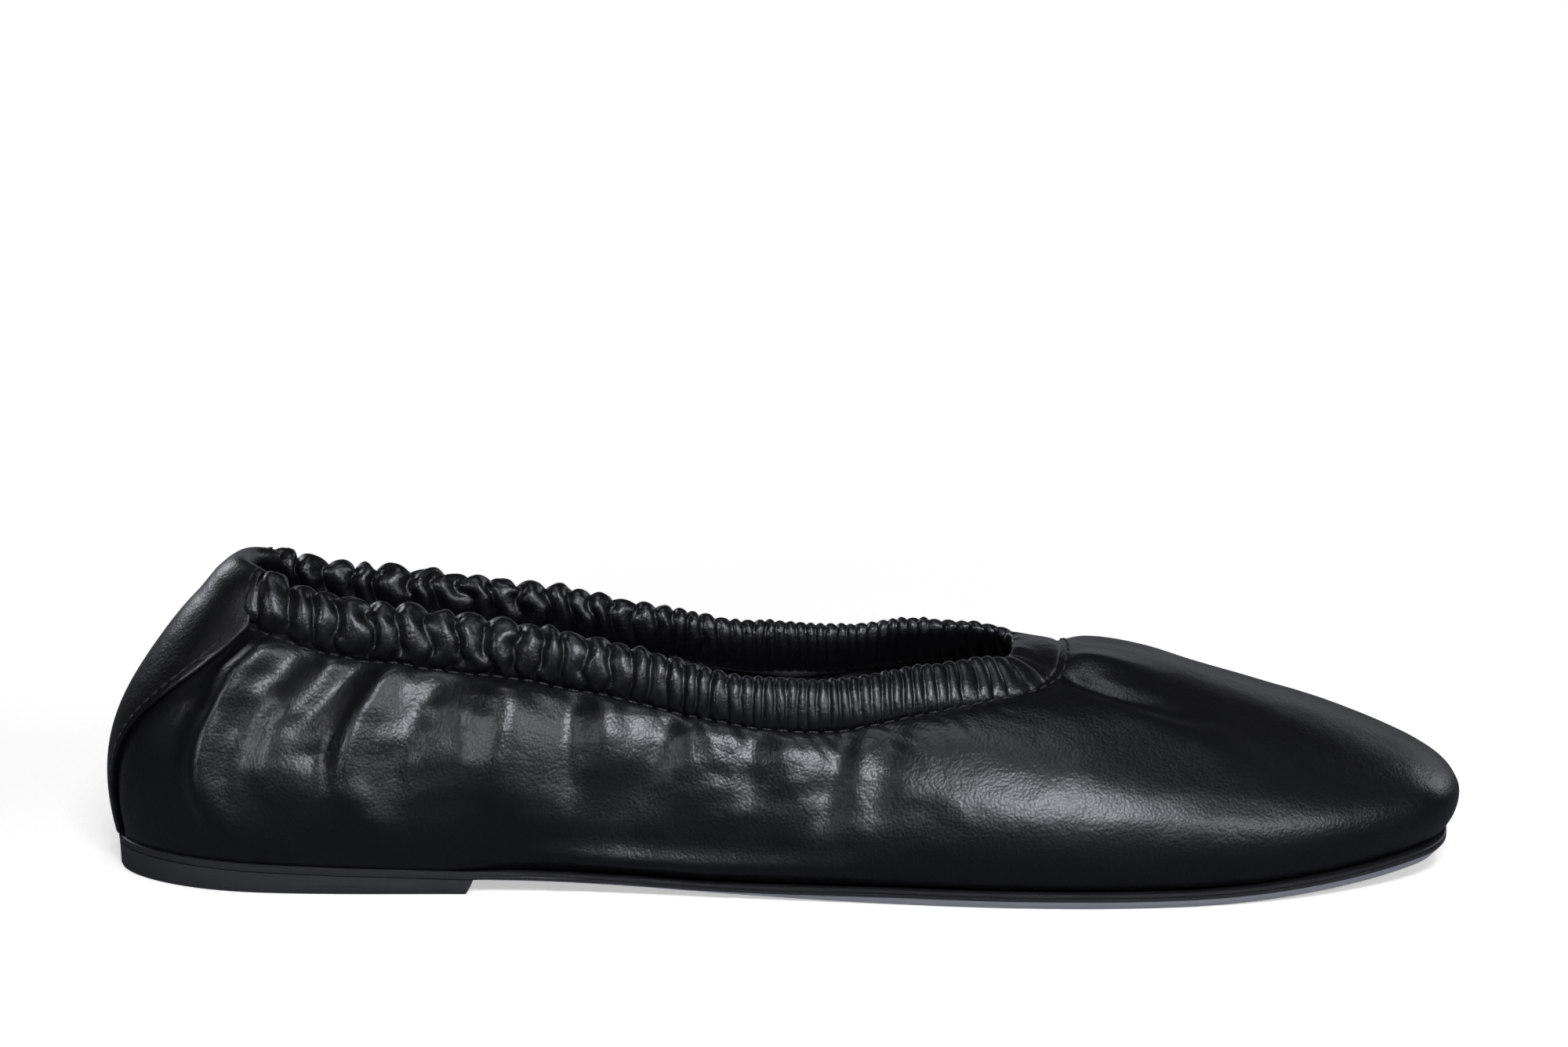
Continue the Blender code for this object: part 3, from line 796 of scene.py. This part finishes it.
def rubber(name, dark, light, rough, streaks_a_metre, mottle):
    """Matt moulded or buffed sole stock, with fine streaks along the edge."""
    made, tree, shader, place = new_material(name)
    mottled = add_node(tree, "ShaderNodeGroup", {"Vector": place}, node_tree=mottle)
    inputs = {"Vector": place, "Scale": streaks_a_metre}
    stretched = add_node(tree, "ShaderNodeMapping", inputs).outputs["Vector"]
    streaks = noise_node(tree, stretched, 1.0, 3.0)
    low = bump(tree, streaks, 0.0001, 0.5)
    surface = {
        "Base Color": colour_between(tree, mottled.outputs["Broad"], dark, light),
        "Roughness": value_between(tree, streaks, *rough),
        "Normal": bump(tree, noise_node(tree, place, 3800.0), 0.00006, 0.6, low),
        "Specular IOR Level": 0.4,
    }
    fill(tree, shader, surface)
    return made


def thread(name, dark, light):
    made, tree, shader, place = new_material(name)
    inputs = {"Vector": place, "Scale": 1300.0, "Distortion": 1.5}
    twist = add_node(tree, "ShaderNodeTexWave", inputs, bands_direction="DIAGONAL").outputs["Fac"]
    surface = {
        "Base Color": colour_between(tree, twist, dark, light),
        "Roughness": value_between(tree, twist, 0.68, 0.5),
        "Normal": bump(tree, twist, 0.00008, 0.8),
    }
    fill(tree, shader, surface)
    return made


# Geometry nodes


def new_shaper(name, numbers):
    return new_tree(name, "GeometryNodeTree", "Geometry", numbers, {"Geometry": "Geometry"})


def end_tree(tree, geometry, result, material):
    """The last nodes of each tree: real geometry, with its material."""
    real = add_node(tree, "GeometryNodeRealizeInstances", {"Geometry": geometry})
    inputs = {"Geometry": real.outputs["Geometry"], "Material": material}
    finish = add_node(tree, "GeometryNodeSetMaterial", inputs)
    tree.links.new(finish.outputs["Geometry"], result.inputs["Geometry"])


def run_tree(piece, tree, values):
    """Runs a tree on a piece, its inputs set by their sockets' identifiers; keeps the plain mesh."""
    modifier = piece.modifiers.new(tree.name, "NODES")
    modifier.node_group = tree
    for item in tree.interface.items_tree:
        if item.item_type == "SOCKET" and item.in_out == "INPUT" and item.name in values:
            modifier[item.identifier] = values[item.name]
    piece = applied(piece)
    piece.data.shade_smooth()
    return piece


def gather_tree(material):
    """Nodes that gather a smooth casing into puffs between sharp valleys, by its pleat count."""
    tree, given, result = new_shaper("gathered_casing", {**GATHERS, "Seed": 0.0})
    seed = given.outputs["Seed"]

    def maths(operation, *inputs, clamp=False):
        return math_node(tree, operation, *inputs, clamp=clamp)

    def stored(name):
        kind = "GeometryNodeInputNamedAttribute"
        return add_node(tree, kind, {"Name": name}, data_type="FLOAT").outputs["Attribute"]

    count, across, rise, valley = map(stored, ("pleat_count", "across", "rise", "valley"))
    along, around = maths("MULTIPLY", count, 0.55), maths("MULTIPLY_ADD", across, 0.9)
    inputs = {"X": along, "Y": around, "Z": maths("ADD", rise, seed)}
    spot = add_node(tree, "ShaderNodeCombineXYZ", inputs).outputs["Vector"]
    slack = maths("MULTIPLY", valley, 400.0)
    sway = maths("SUBTRACT", noise_node(tree, spot, 1.0, 1.0), 0.5)
    loose = maths("MULTIPLY", sway, given.outputs["Drift"])
    drift = maths("MULTIPLY", loose, maths("ADD", slack, 0.35))
    place = maths("ADD", count, maths("MULTIPLY", drift, 4.0))
    mirrored = maths("ABSOLUTE", maths("MULTIPLY_ADD", maths("FRACT", place), 2.0, -1.0))
    rounded = maths("SUBTRACT", 1.0, maths("POWER", mirrored, 1.9), clamp=True)
    puff = maths("POWER", rounded, 0.8)

    number = maths("ADD", maths("FLOOR", place), seed)
    which = add_node(tree, "ShaderNodeTexWhiteNoise", {"W": number}, noise_dimensions="1D")
    lesser = maths("MULTIPLY", which.outputs["Value"], given.outputs["Unevenness"])
    size = maths("SUBTRACT", 1.15, lesser)
    relief = maths("SUBTRACT", maths("MULTIPLY", puff, size), 0.6)

    fine = add_node(tree, "ShaderNodeVectorMath", {0: spot, "Scale": 2.0}, operation="SCALE")
    crumple = maths("SUBTRACT", noise_node(tree, fine.outputs[0], 1.0), 0.5)
    crumpled = maths("MULTIPLY", crumple, maths("MULTIPLY", given.outputs["Crumple"], slack))
    total = maths("MULTIPLY", maths("ADD", relief, crumpled), valley)

    normal = tree.nodes.new("GeometryNodeInputNormal").outputs["Normal"]
    inputs = {0: normal, "Scale": total}
    push = add_node(tree, "ShaderNodeVectorMath", inputs, operation="SCALE")
    inputs = {"Geometry": given.outputs["Geometry"], "Offset": push.outputs[0]}
    move = add_node(tree, "GeometryNodeSetPosition", inputs)
    end_tree(tree, move.outputs["Geometry"], result, material)
    return tree


def stitch_tree(material):
    """Nodes that lay stitches of a given pitch, length and thread along a path."""
    values = {"Pitch": STITCH_PITCH, "Stitch Length": STITCH_LENGTH, "Thread Radius": THREAD_RADIUS}
    tree, given, result = new_shaper("stitch_row", values)
    line = add_node(tree, "GeometryNodeMeshToCurve", {"Mesh": given.outputs["Geometry"]})
    inputs = {"Curve": line.outputs["Curve"], "Length": given.outputs["Pitch"]}
    spots = add_node(tree, "GeometryNodeCurveToPoints", inputs, mode="LENGTH")
    ball = add_node(tree, "GeometryNodeMeshUVSphere", {"Segments": 8, "Rings": 6, "Radius": 1.0})
    radius = given.outputs["Thread Radius"]
    half = math_node(tree, "MULTIPLY", given.outputs["Stitch Length"], 0.5)
    size = add_node(tree, "ShaderNodeCombineXYZ", {"X": radius, "Y": radius, "Z": half})
    inputs = {"Geometry": ball.outputs["Mesh"], "Scale": size.outputs["Vector"]}
    stitch = add_node(tree, "GeometryNodeTransform", inputs).outputs["Geometry"]
    inputs = {name: spots.outputs[name] for name in ("Points", "Rotation")}
    place = add_node(tree, "GeometryNodeInstanceOnPoints", {**inputs, "Instance": stitch})
    end_tree(tree, place.outputs["Instances"], result, material)
    return tree


# Pieces


def build_upper(upper, outside, inside):
    """The folded wall, with a tucked edge inside the casing, and its lining."""
    seam, up, side = casing_axes(upper.turns)
    tuck = seam - side * TUCK_IN + up * TUCK_UP
    grid = np.concatenate([upper.points, tuck[:, None]], axis=1)
    rows, columns = grid.shape[:2]
    piece = add_mesh("upper_leather", grid, grid_faces(rows, columns, True), [outside, inside])
    wall = piece.modifiers.new("wall", "SOLIDIFY")
    wall.thickness = UPPER_WALL
    wall.offset = -1.0
    wall.material_offset = 1
    wall.material_offset_rim = 0
    return finish_piece(applied(piece), "black_nappa", "upper")


def add_tube(name, sections, material, smooth_angle=None):
    """A run of rounded sections, capped at both ends, with its faces outwards."""
    last = (len(sections) - 1) * CASING_CORNERS
    faces = grid_faces(len(sections), CASING_CORNERS, False, True)
    faces.append(tuple(range(CASING_CORNERS)))
    faces.append(tuple(last + c for c in reversed(range(CASING_CORNERS))))
    piece = add_mesh(name, sections, faces, [material], smooth_angle=smooth_angle)
    shape = bmesh.new()
    shape.from_mesh(piece.data)
    bmesh.ops.recalc_face_normals(shape, faces=shape.faces)
    shape.to_mesh(piece.data)
    shape.free()
    return piece


def build_casing(name, node, begin, end, material, tree, seed):
    """One side's casing: a smooth oblong tube along the topline, then gathered by its nodes."""
    fine = np.linspace(begin, end, 4001)
    length = seam_lengths(fine) / MM
    turns = np.interp(np.linspace(0.0, length[-1], CASING_STEPS), length, fine)
    density = 1.0 / gathering(fine, 1)
    counted = np.concatenate([[0.0], np.cumsum(np.diff(length) * (density[1:] + density[:-1]) / 2.0)])
    count = np.interp(turns, fine, counted)
    along = np.interp(turns, fine, length)

    thickness = gathering(turns, 5) * MM
    valley = gathering(turns, 2) * MM
    height = gathering(turns, 6) * MM + 0.0004 * wander(along * 0.09, seed)
    sections = casing_section(turns, thickness, height, CASING_ANGLES, 0.90, sink=0.0006)
    side = casing_axes(turns)[2]
    sway = wander(along * 0.11, seed + 2.0) * 0.0004 * np.minimum(valley / 0.001, 1.0)
    sections = sections + (side * sway[:, None])[:, None]

    piece = add_tube(name, sections, material)
    ring = np.tile(CASING_ANGLES, (len(turns), 1))
    add_floats(piece, "pleat_count", np.repeat(count, CASING_CORNERS))
    add_floats(piece, "across", np.cos(ring))
    add_floats(piece, "rise", np.sin(ring) * 0.8)
    held = 0.5 + 0.5 * eased((np.sin(ring) + 1.0) / 0.8)
    add_floats(piece, "valley", valley[:, None] * held)
    piece = run_tree(piece, tree, {**GATHERS, "Seed": seed})
    return finish_piece(piece, "black_nappa", node)


def build_tab(material):
    """The flat, ungathered stretch of casing across the throat, creased where it meets the gathers."""
    begin, end = TAB_TURN - TAB_OVERLAP_TURN, FULL_TURN - TAB_TURN + TAB_OVERLAP_TURN
    turns = np.linspace(begin, end, TAB_STEPS)
    ends = eased(np.minimum(turns - begin, end - turns) / 0.03)
    thickness = TAB_END_THICKNESS - 0.0003 * ends
    height = CASING_HEIGHT + 0.0002 - 0.0004 * ends + 0.00025 * wander(turns * 30.0, 5.0)
    sections = casing_section(turns, thickness, height, CASING_ANGLES, 0.62, sink=0.0005)
    side = casing_axes(turns)[2]
    dip = (side * 0.00045 * wander(turns * 24.0, 8.0)[:, None])[:, None]
    sections = sections + dip * np.clip(np.sin(CASING_ANGLES), 0.0, 1.0)[None, :, None]
    piece = add_tube("throat_band", sections, material, smooth_angle=60.0)
    return finish_piece(piece, "black_nappa", "throat_tab")


def strip_grid(lift):
    """The back strip's face, a lift off the upper and over the casing's fold."""
    spread = np.linspace(-1.0, 1.0, STRIP_STEPS + 1)
    shares = np.linspace(0.0, 0.985, STRIP_RISE_STEPS)
    half_turn = strip_half_turn(shares)
    turn = spread[:, None] * half_turn[None, :]
    face = smooth_shell(turn, shares[None, :])
    angles = np.radians(np.linspace(-4.0, 196.0, STRIP_FOLD_STEPS))
    ones = np.ones(len(spread))
    thickness, height = ones * STRIP_FOLD_THICKNESS, ones * CASING_HEIGHT
    fold = casing_section(spread * PANEL_TOP_TURN, thickness, height, angles)
    grid = np.concatenate([face, fold], axis=1)
    normal = face_normals(grid, False)
    rim = 1.0 - np.abs(spread) ** 10
    soft = wander(np.linspace(0.0, 4.0, grid.shape[1])[None, :] + spread[:, None] * 0.8, 6.0, 2) * 0.00010
    return grid + normal * (lift + 0.00030 * rim[:, None] + soft * rim[:, None])[..., None]


def build_strip(material):
    grid = strip_grid(STRIP_LIFT)
    rows, columns = grid.shape[:2]
    piece = add_mesh("back_strip", grid, grid_faces(rows, columns, False), [material])
    wall = piece.modifiers.new("wall", "SOLIDIFY")
    wall.thickness = STRIP_WALL
    wall.offset = -1.0
    rounding = piece.modifiers.new("rounding", "BEVEL")
    rounding.width = STRIP_EDGE_ROUNDING
    rounding.segments = 3
    rounding.limit_method = "ANGLE"
    rounding.angle_limit = math.radians(50.0)
    return finish_piece(applied(piece), "black_nappa", "back_panel")


def ladder(rings, slots):
    """Faces of a flat body between rings, top ring first, tied across from side to side at both caps."""
    count = len(rings[0])
    faces, face_slots = [], []
    for level in range(len(rings) - 1):
        upper, lower = level * count, (level + 1) * count
        for i in range(count):
            j = (i + 1) % count
            faces.append((upper + j, upper + i, lower + i, lower + j))
            face_slots.append(slots[level])
    bottom = (len(rings) - 1) * count
    for i in range((count + 1) // 2):
        corners = [i, i + 1, (count - i - 1) % count, (count - i) % count]
        tied = list(dict.fromkeys(corners))
        if len(tied) > 2:
            faces.append(tied)
            face_slots.append(slots[0])
            faces.append([bottom + c for c in reversed(tied)])
            face_slots.append(slots[-1])
    return faces, face_slots


def shoe_turns(half):
    """Turns around the whole shoe, closer together at heel and toe, and the same on both sides."""
    share = np.arange(2 * half) / half
    return share - 0.08 * np.sin(2.0 * math.pi * share) / math.pi


def build_sole(edge, bevel, under):
    """The thin sole: a feathered top, a narrow edge with its welt groove, the bevel with a painted reflection
    on the forepart, and the underside.
    """
    turns = shoe_turns(SOLE_TURNS)
    rim = sole_outline(turns)
    thick = sole_thickness(rim[:, 0])
    drop = thick - SOLE_EDGE
    ahead = eased((rim[:, 0] - HEEL_LENGTH) / 0.030)
    levels = (
        # inset, depth below the top, share of the bevel run
        (0.0012, 0.0, 0.0),
        (0.00025, 0.0, 0.0),
        (0.0, 0.00022, 0.0),
        (0.0, 0.00050, 0.0),
        (0.00022 * ahead, 0.00062, 0.0),
        (0.0, 0.00074, 0.0),
        (0.0, SOLE_EDGE - 0.00012, 0.0),
        (0.00012 * ahead, SOLE_EDGE, 0.04),
        (0.0, SOLE_EDGE, 0.92),
        (0.0003, SOLE_EDGE, 1.06),
    )
    rings = []
    for inset, depth, run in levels:
        at = sole_outline(turns, inset + BEVEL_RUN * drop * run)
        level = sole_top(at[:, 0]) - depth
        if run > 0.0:
            level = sole_bottom(at[:, 0]) + drop * (1.0 - min(run, 1.0))
        rings.append(np.column_stack([at, level]))
    slots = [0, 0, 0, 0, 0, 0, 0, 1, 2]
    faces, face_slots = ladder(rings, slots)
    points = np.concatenate(rings)
    # On the heel the bevel takes the edge's colour, so the painted reflection lies only on the forepart's
    # bevel.
    for index, corners in enumerate(faces):
        if face_slots[index] == 1 and points[list(corners), 0].min() < HEEL_LENGTH:
            face_slots[index] = 0
    piece = add_mesh("outsole_sheet", points, faces, [edge, bevel, under], face_slots, 35.0)
    return finish_piece(piece, "black_sole", "outsole")


def build_heel(side, under):
    """The low heel: buffed sides, slanted breast, worn bottom edge."""
    turns = np.linspace(0.0, 1.0, 2001)
    breast = float(np.interp(HEEL_LENGTH, OUTLINE_AT(turns)[:, 0], turns))
    lateral = breast * np.linspace(0.0, 1.0, 61)[1:]
    turns = np.concatenate([[0.0], lateral, FULL_TURN - lateral[::-1]])
    levels = (
        # inset, share of the height above the floor
        (-0.0002, 1.0),
        (-0.0002, 0.96),
        (-0.0001, 0.60),
        (0.0, 0.10),
        (0.00015, 0.03),
        (0.0005, 0.0),
    )
    rings = []
    for inset, share in levels:
        rim = sole_outline(turns, HEEL_INSET + inset)
        front = HEEL_LENGTH - BREAST_SLANT * (1.0 - share) - inset
        rim[:, 0] = np.minimum(rim[:, 0], front)
        height = (sole_bottom(rim[:, 0]) - 0.00004) * share
        rings.append(np.column_stack([rim, height]))
    faces, face_slots = ladder(rings, [0, 0, 0, 0, 1])
    piece = add_mesh("heel_block", np.concatenate(rings), faces, [side, under], face_slots, 35.0)
    return finish_piece(piece, "grey_black_heel", "heel_lift")


def build_sock(material):
    """The sock lining: a thin covered board, crowned at the middle and rounded at its rim."""
    turns = shoe_turns(SOLE_TURNS)
    clear = FEATHER_MARGIN + UPPER_WALL + GAP
    levels = (
        # inset, height above the sole
        (0.0120, INSOLE_THICKNESS + 0.00035),
        (0.0040, INSOLE_THICKNESS + 0.00020),
        (0.0031, INSOLE_THICKNESS + 0.00002),
        (0.0028, INSOLE_THICKNESS - 0.00022),
        (0.0025, INSOLE_THICKNESS + 0.00002),
        (0.0008, INSOLE_THICKNESS - 0.00010),
        (0.0001, INSOLE_THICKNESS - 0.00080),
        (0.0, GAP),
    )
    rings = []
    for inset, rise in levels:
        at = sole_outline(turns, clear + inset)
        rings.append(np.column_stack([at, sole_top(at[:, 0]) + rise]))
    faces, face_slots = ladder(rings, [0] * 7)
    piece = add_mesh("sock_lining", np.concatenate(rings), faces, [material], face_slots, 50.0)
    return finish_piece(piece, "black_lining", "insole")


def stitch_row(name, path, material, tree, pitch=STITCH_PITCH, length=STITCH_LENGTH):
    """Stitches of black thread laid along a path, sewn into the leather."""
    points = np.array(path)
    mesh = bpy.data.meshes.new(name)
    edges = [(i, i + 1) for i in range(len(points) - 1)]
    mesh.from_pydata((points + SHIFT).tolist(), edges, [])
    mesh.materials.append(material)
    piece = new_object(name, mesh)
    values = {"Pitch": pitch, "Stitch Length": length, "Thread Radius": THREAD_RADIUS}
    return finish_piece(run_tree(piece, tree, values), "black_nappa")


def build_stitches(upper, material, tree):
    begin, medial_tab = PANEL_TOP_TURN + 0.004, FULL_TURN - TAB_TURN
    for name, start, end, count, below in (
        ("casing_stitches_lateral", begin, TAB_TURN, 500, 1.1),
        ("casing_stitches_medial", medial_tab, FULL_TURN - begin, 500, 1.1),
        ("throat_stitches", TAB_TURN, medial_tab, 90, 1.3),
    ):
        path = [upper.on_skin(t, below, STITCH_LIFT) for t in np.linspace(start, end, count)]
        stitch_row(name, smooth_path(path), material, tree)
    face = strip_grid(STRIP_LIFT)
    for name, row in (("strip_stitches_lateral", -3), ("strip_stitches_medial", 2)):
        path = face[row, 3 : STRIP_RISE_STEPS + 16]
        stitch_row(name, path, material, tree, STRIP_STITCH_PITCH, STRIP_STITCH_LENGTH)


def smooth_path(points):
    points = np.array(points)
    for _ in range(2):
        points[1:-1] = (points[:-2] + 2.0 * points[1:-1] + points[2:]) / 4.0
    return points


# Stage


def add_floor():
    """A pale sweep, brighter away from the shoe, that the leather doesn't mirror."""
    mesh = bpy.data.meshes.new("floor")
    corners = [(-1, -1), (1, -1), (1, 1), (-1, 1)]
    mesh.from_pydata([(x * FLOOR_SIZE, y * FLOOR_SIZE, 0.0) for x, y in corners], [], [(0, 1, 2, 3)])
    floor = new_object("floor", mesh)
    made, tree, shader, place = new_material("pale_floor")
    rays = tree.nodes.new("ShaderNodeLightPath").outputs
    away = add_node(tree, "ShaderNodeVectorMath", {0: place}, operation="LENGTH").outputs["Value"]
    inputs = {"Value": away, "From Min": 0.15, "From Max": 1.4, "To Min": 0.50, "To Max": 1.0}
    far = add_node(tree, "ShaderNodeMapRange", inputs).outputs["Result"]
    surface = {
        "Base Color": colour_between(tree, rays["Is Glossy Ray"], FLOOR_COLOUR, FLOOR_IN_LEATHER),
        "Emission Color": (1.0, 1.0, 1.0, 1.0),
        "Emission Strength": math_node(tree, "MULTIPLY", far, rays["Is Camera Ray"]),
        "Roughness": 0.9,
        "Specular IOR Level": 0.0,
    }
    fill(tree, shader, surface)
    mesh.materials.append(made)
    floor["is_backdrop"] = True


def add_light(name, place, aim, size, power, spread):
    data = bpy.data.lights.new(name, "AREA")
    data.shape = "RECTANGLE"
    data.size, data.size_y = size
    data.energy = power
    data.color = LIGHT_COLOUR
    data.spread = math.radians(spread)
    light = new_object(name, data)
    light.location = place
    light.rotation_euler = (Vector(aim) - Vector(place)).to_track_quat("-Z", "Y").to_euler()
    light.visible_camera = False


def add_lights():
    """Softboxes, and a dim world that looks white to the camera."""
    world = bpy.data.worlds.new("studio")
    world.use_nodes = True
    tree = world.node_tree
    seen = tree.nodes.new("ShaderNodeLightPath").outputs["Is Camera Ray"]
    glow = {"Color": (0.92, 0.95, 1.0, 1.0), "Strength": value_between(tree, seen, 0.036, 1.1)}
    fill(tree, tree.nodes["Background"], glow)
    bpy.context.scene.world = world
    for row in LIGHTS:
        add_light(*row)
    bpy.context.scene.view_settings.view_transform = "Standard"


def add_camera():
    """A long lens, aimed so that the shoe stands low in the picture."""
    low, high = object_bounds()
    middle = (low + high) / 2.0
    data = bpy.data.cameras.new("camera")
    data.lens = CAMERA_LENS
    data.sensor_width = 36.0
    distance = (PHOTO_WIDTH / PIXELS_A_METRE) * CAMERA_LENS / 36.0
    pitch = math.radians(CAMERA_ELEVATION)
    camera = new_object("camera", data)
    camera.location = (middle.x, middle.y - distance * math.cos(pitch), middle.z + distance * math.sin(pitch))
    rise = math.atan(SHOE_BELOW_MIDDLE / PIXELS_A_METRE / distance)
    camera.rotation_euler = (math.radians(90.0) - pitch + rise, 0.0, 0.0)
    data.clip_start, data.clip_end = 0.01, 20.0
    bpy.context.scene.camera = camera


def build_shoe():
    SHIFT[:] = find_shift()
    grain, mottle = pebble_grain(), soft_mottle()
    nappa, lining = (leather(*row, grain, mottle) for row in LEATHERS)
    edge, bevel, under, heel = (rubber(*row, mottle) for row in RUBBERS)
    black_thread = thread("black_thread", (0.004, 0.004, 0.005), (0.018, 0.018, 0.021))

    upper = Upper()
    build_upper(upper, nappa, lining)
    gathers = gather_tree(nappa)
    begin, end = CASING_BEGIN_TURN, TAB_TURN
    build_casing("gathered_casing_lateral", "casing_lateral", begin, end, nappa, gathers, 3.0)
    begin, end = FULL_TURN - TAB_TURN, FULL_TURN - CASING_BEGIN_TURN
    build_casing("gathered_casing_medial", "casing_medial", begin, end, nappa, gathers, 11.0)
    build_tab(nappa)
    build_strip(nappa)
    build_stitches(upper, black_thread, stitch_tree(black_thread))
    build_sole(edge, bevel, under)
    build_heel(heel, under)
    build_sock(lining)


build_shoe()
add_floor()
add_lights()
add_camera()
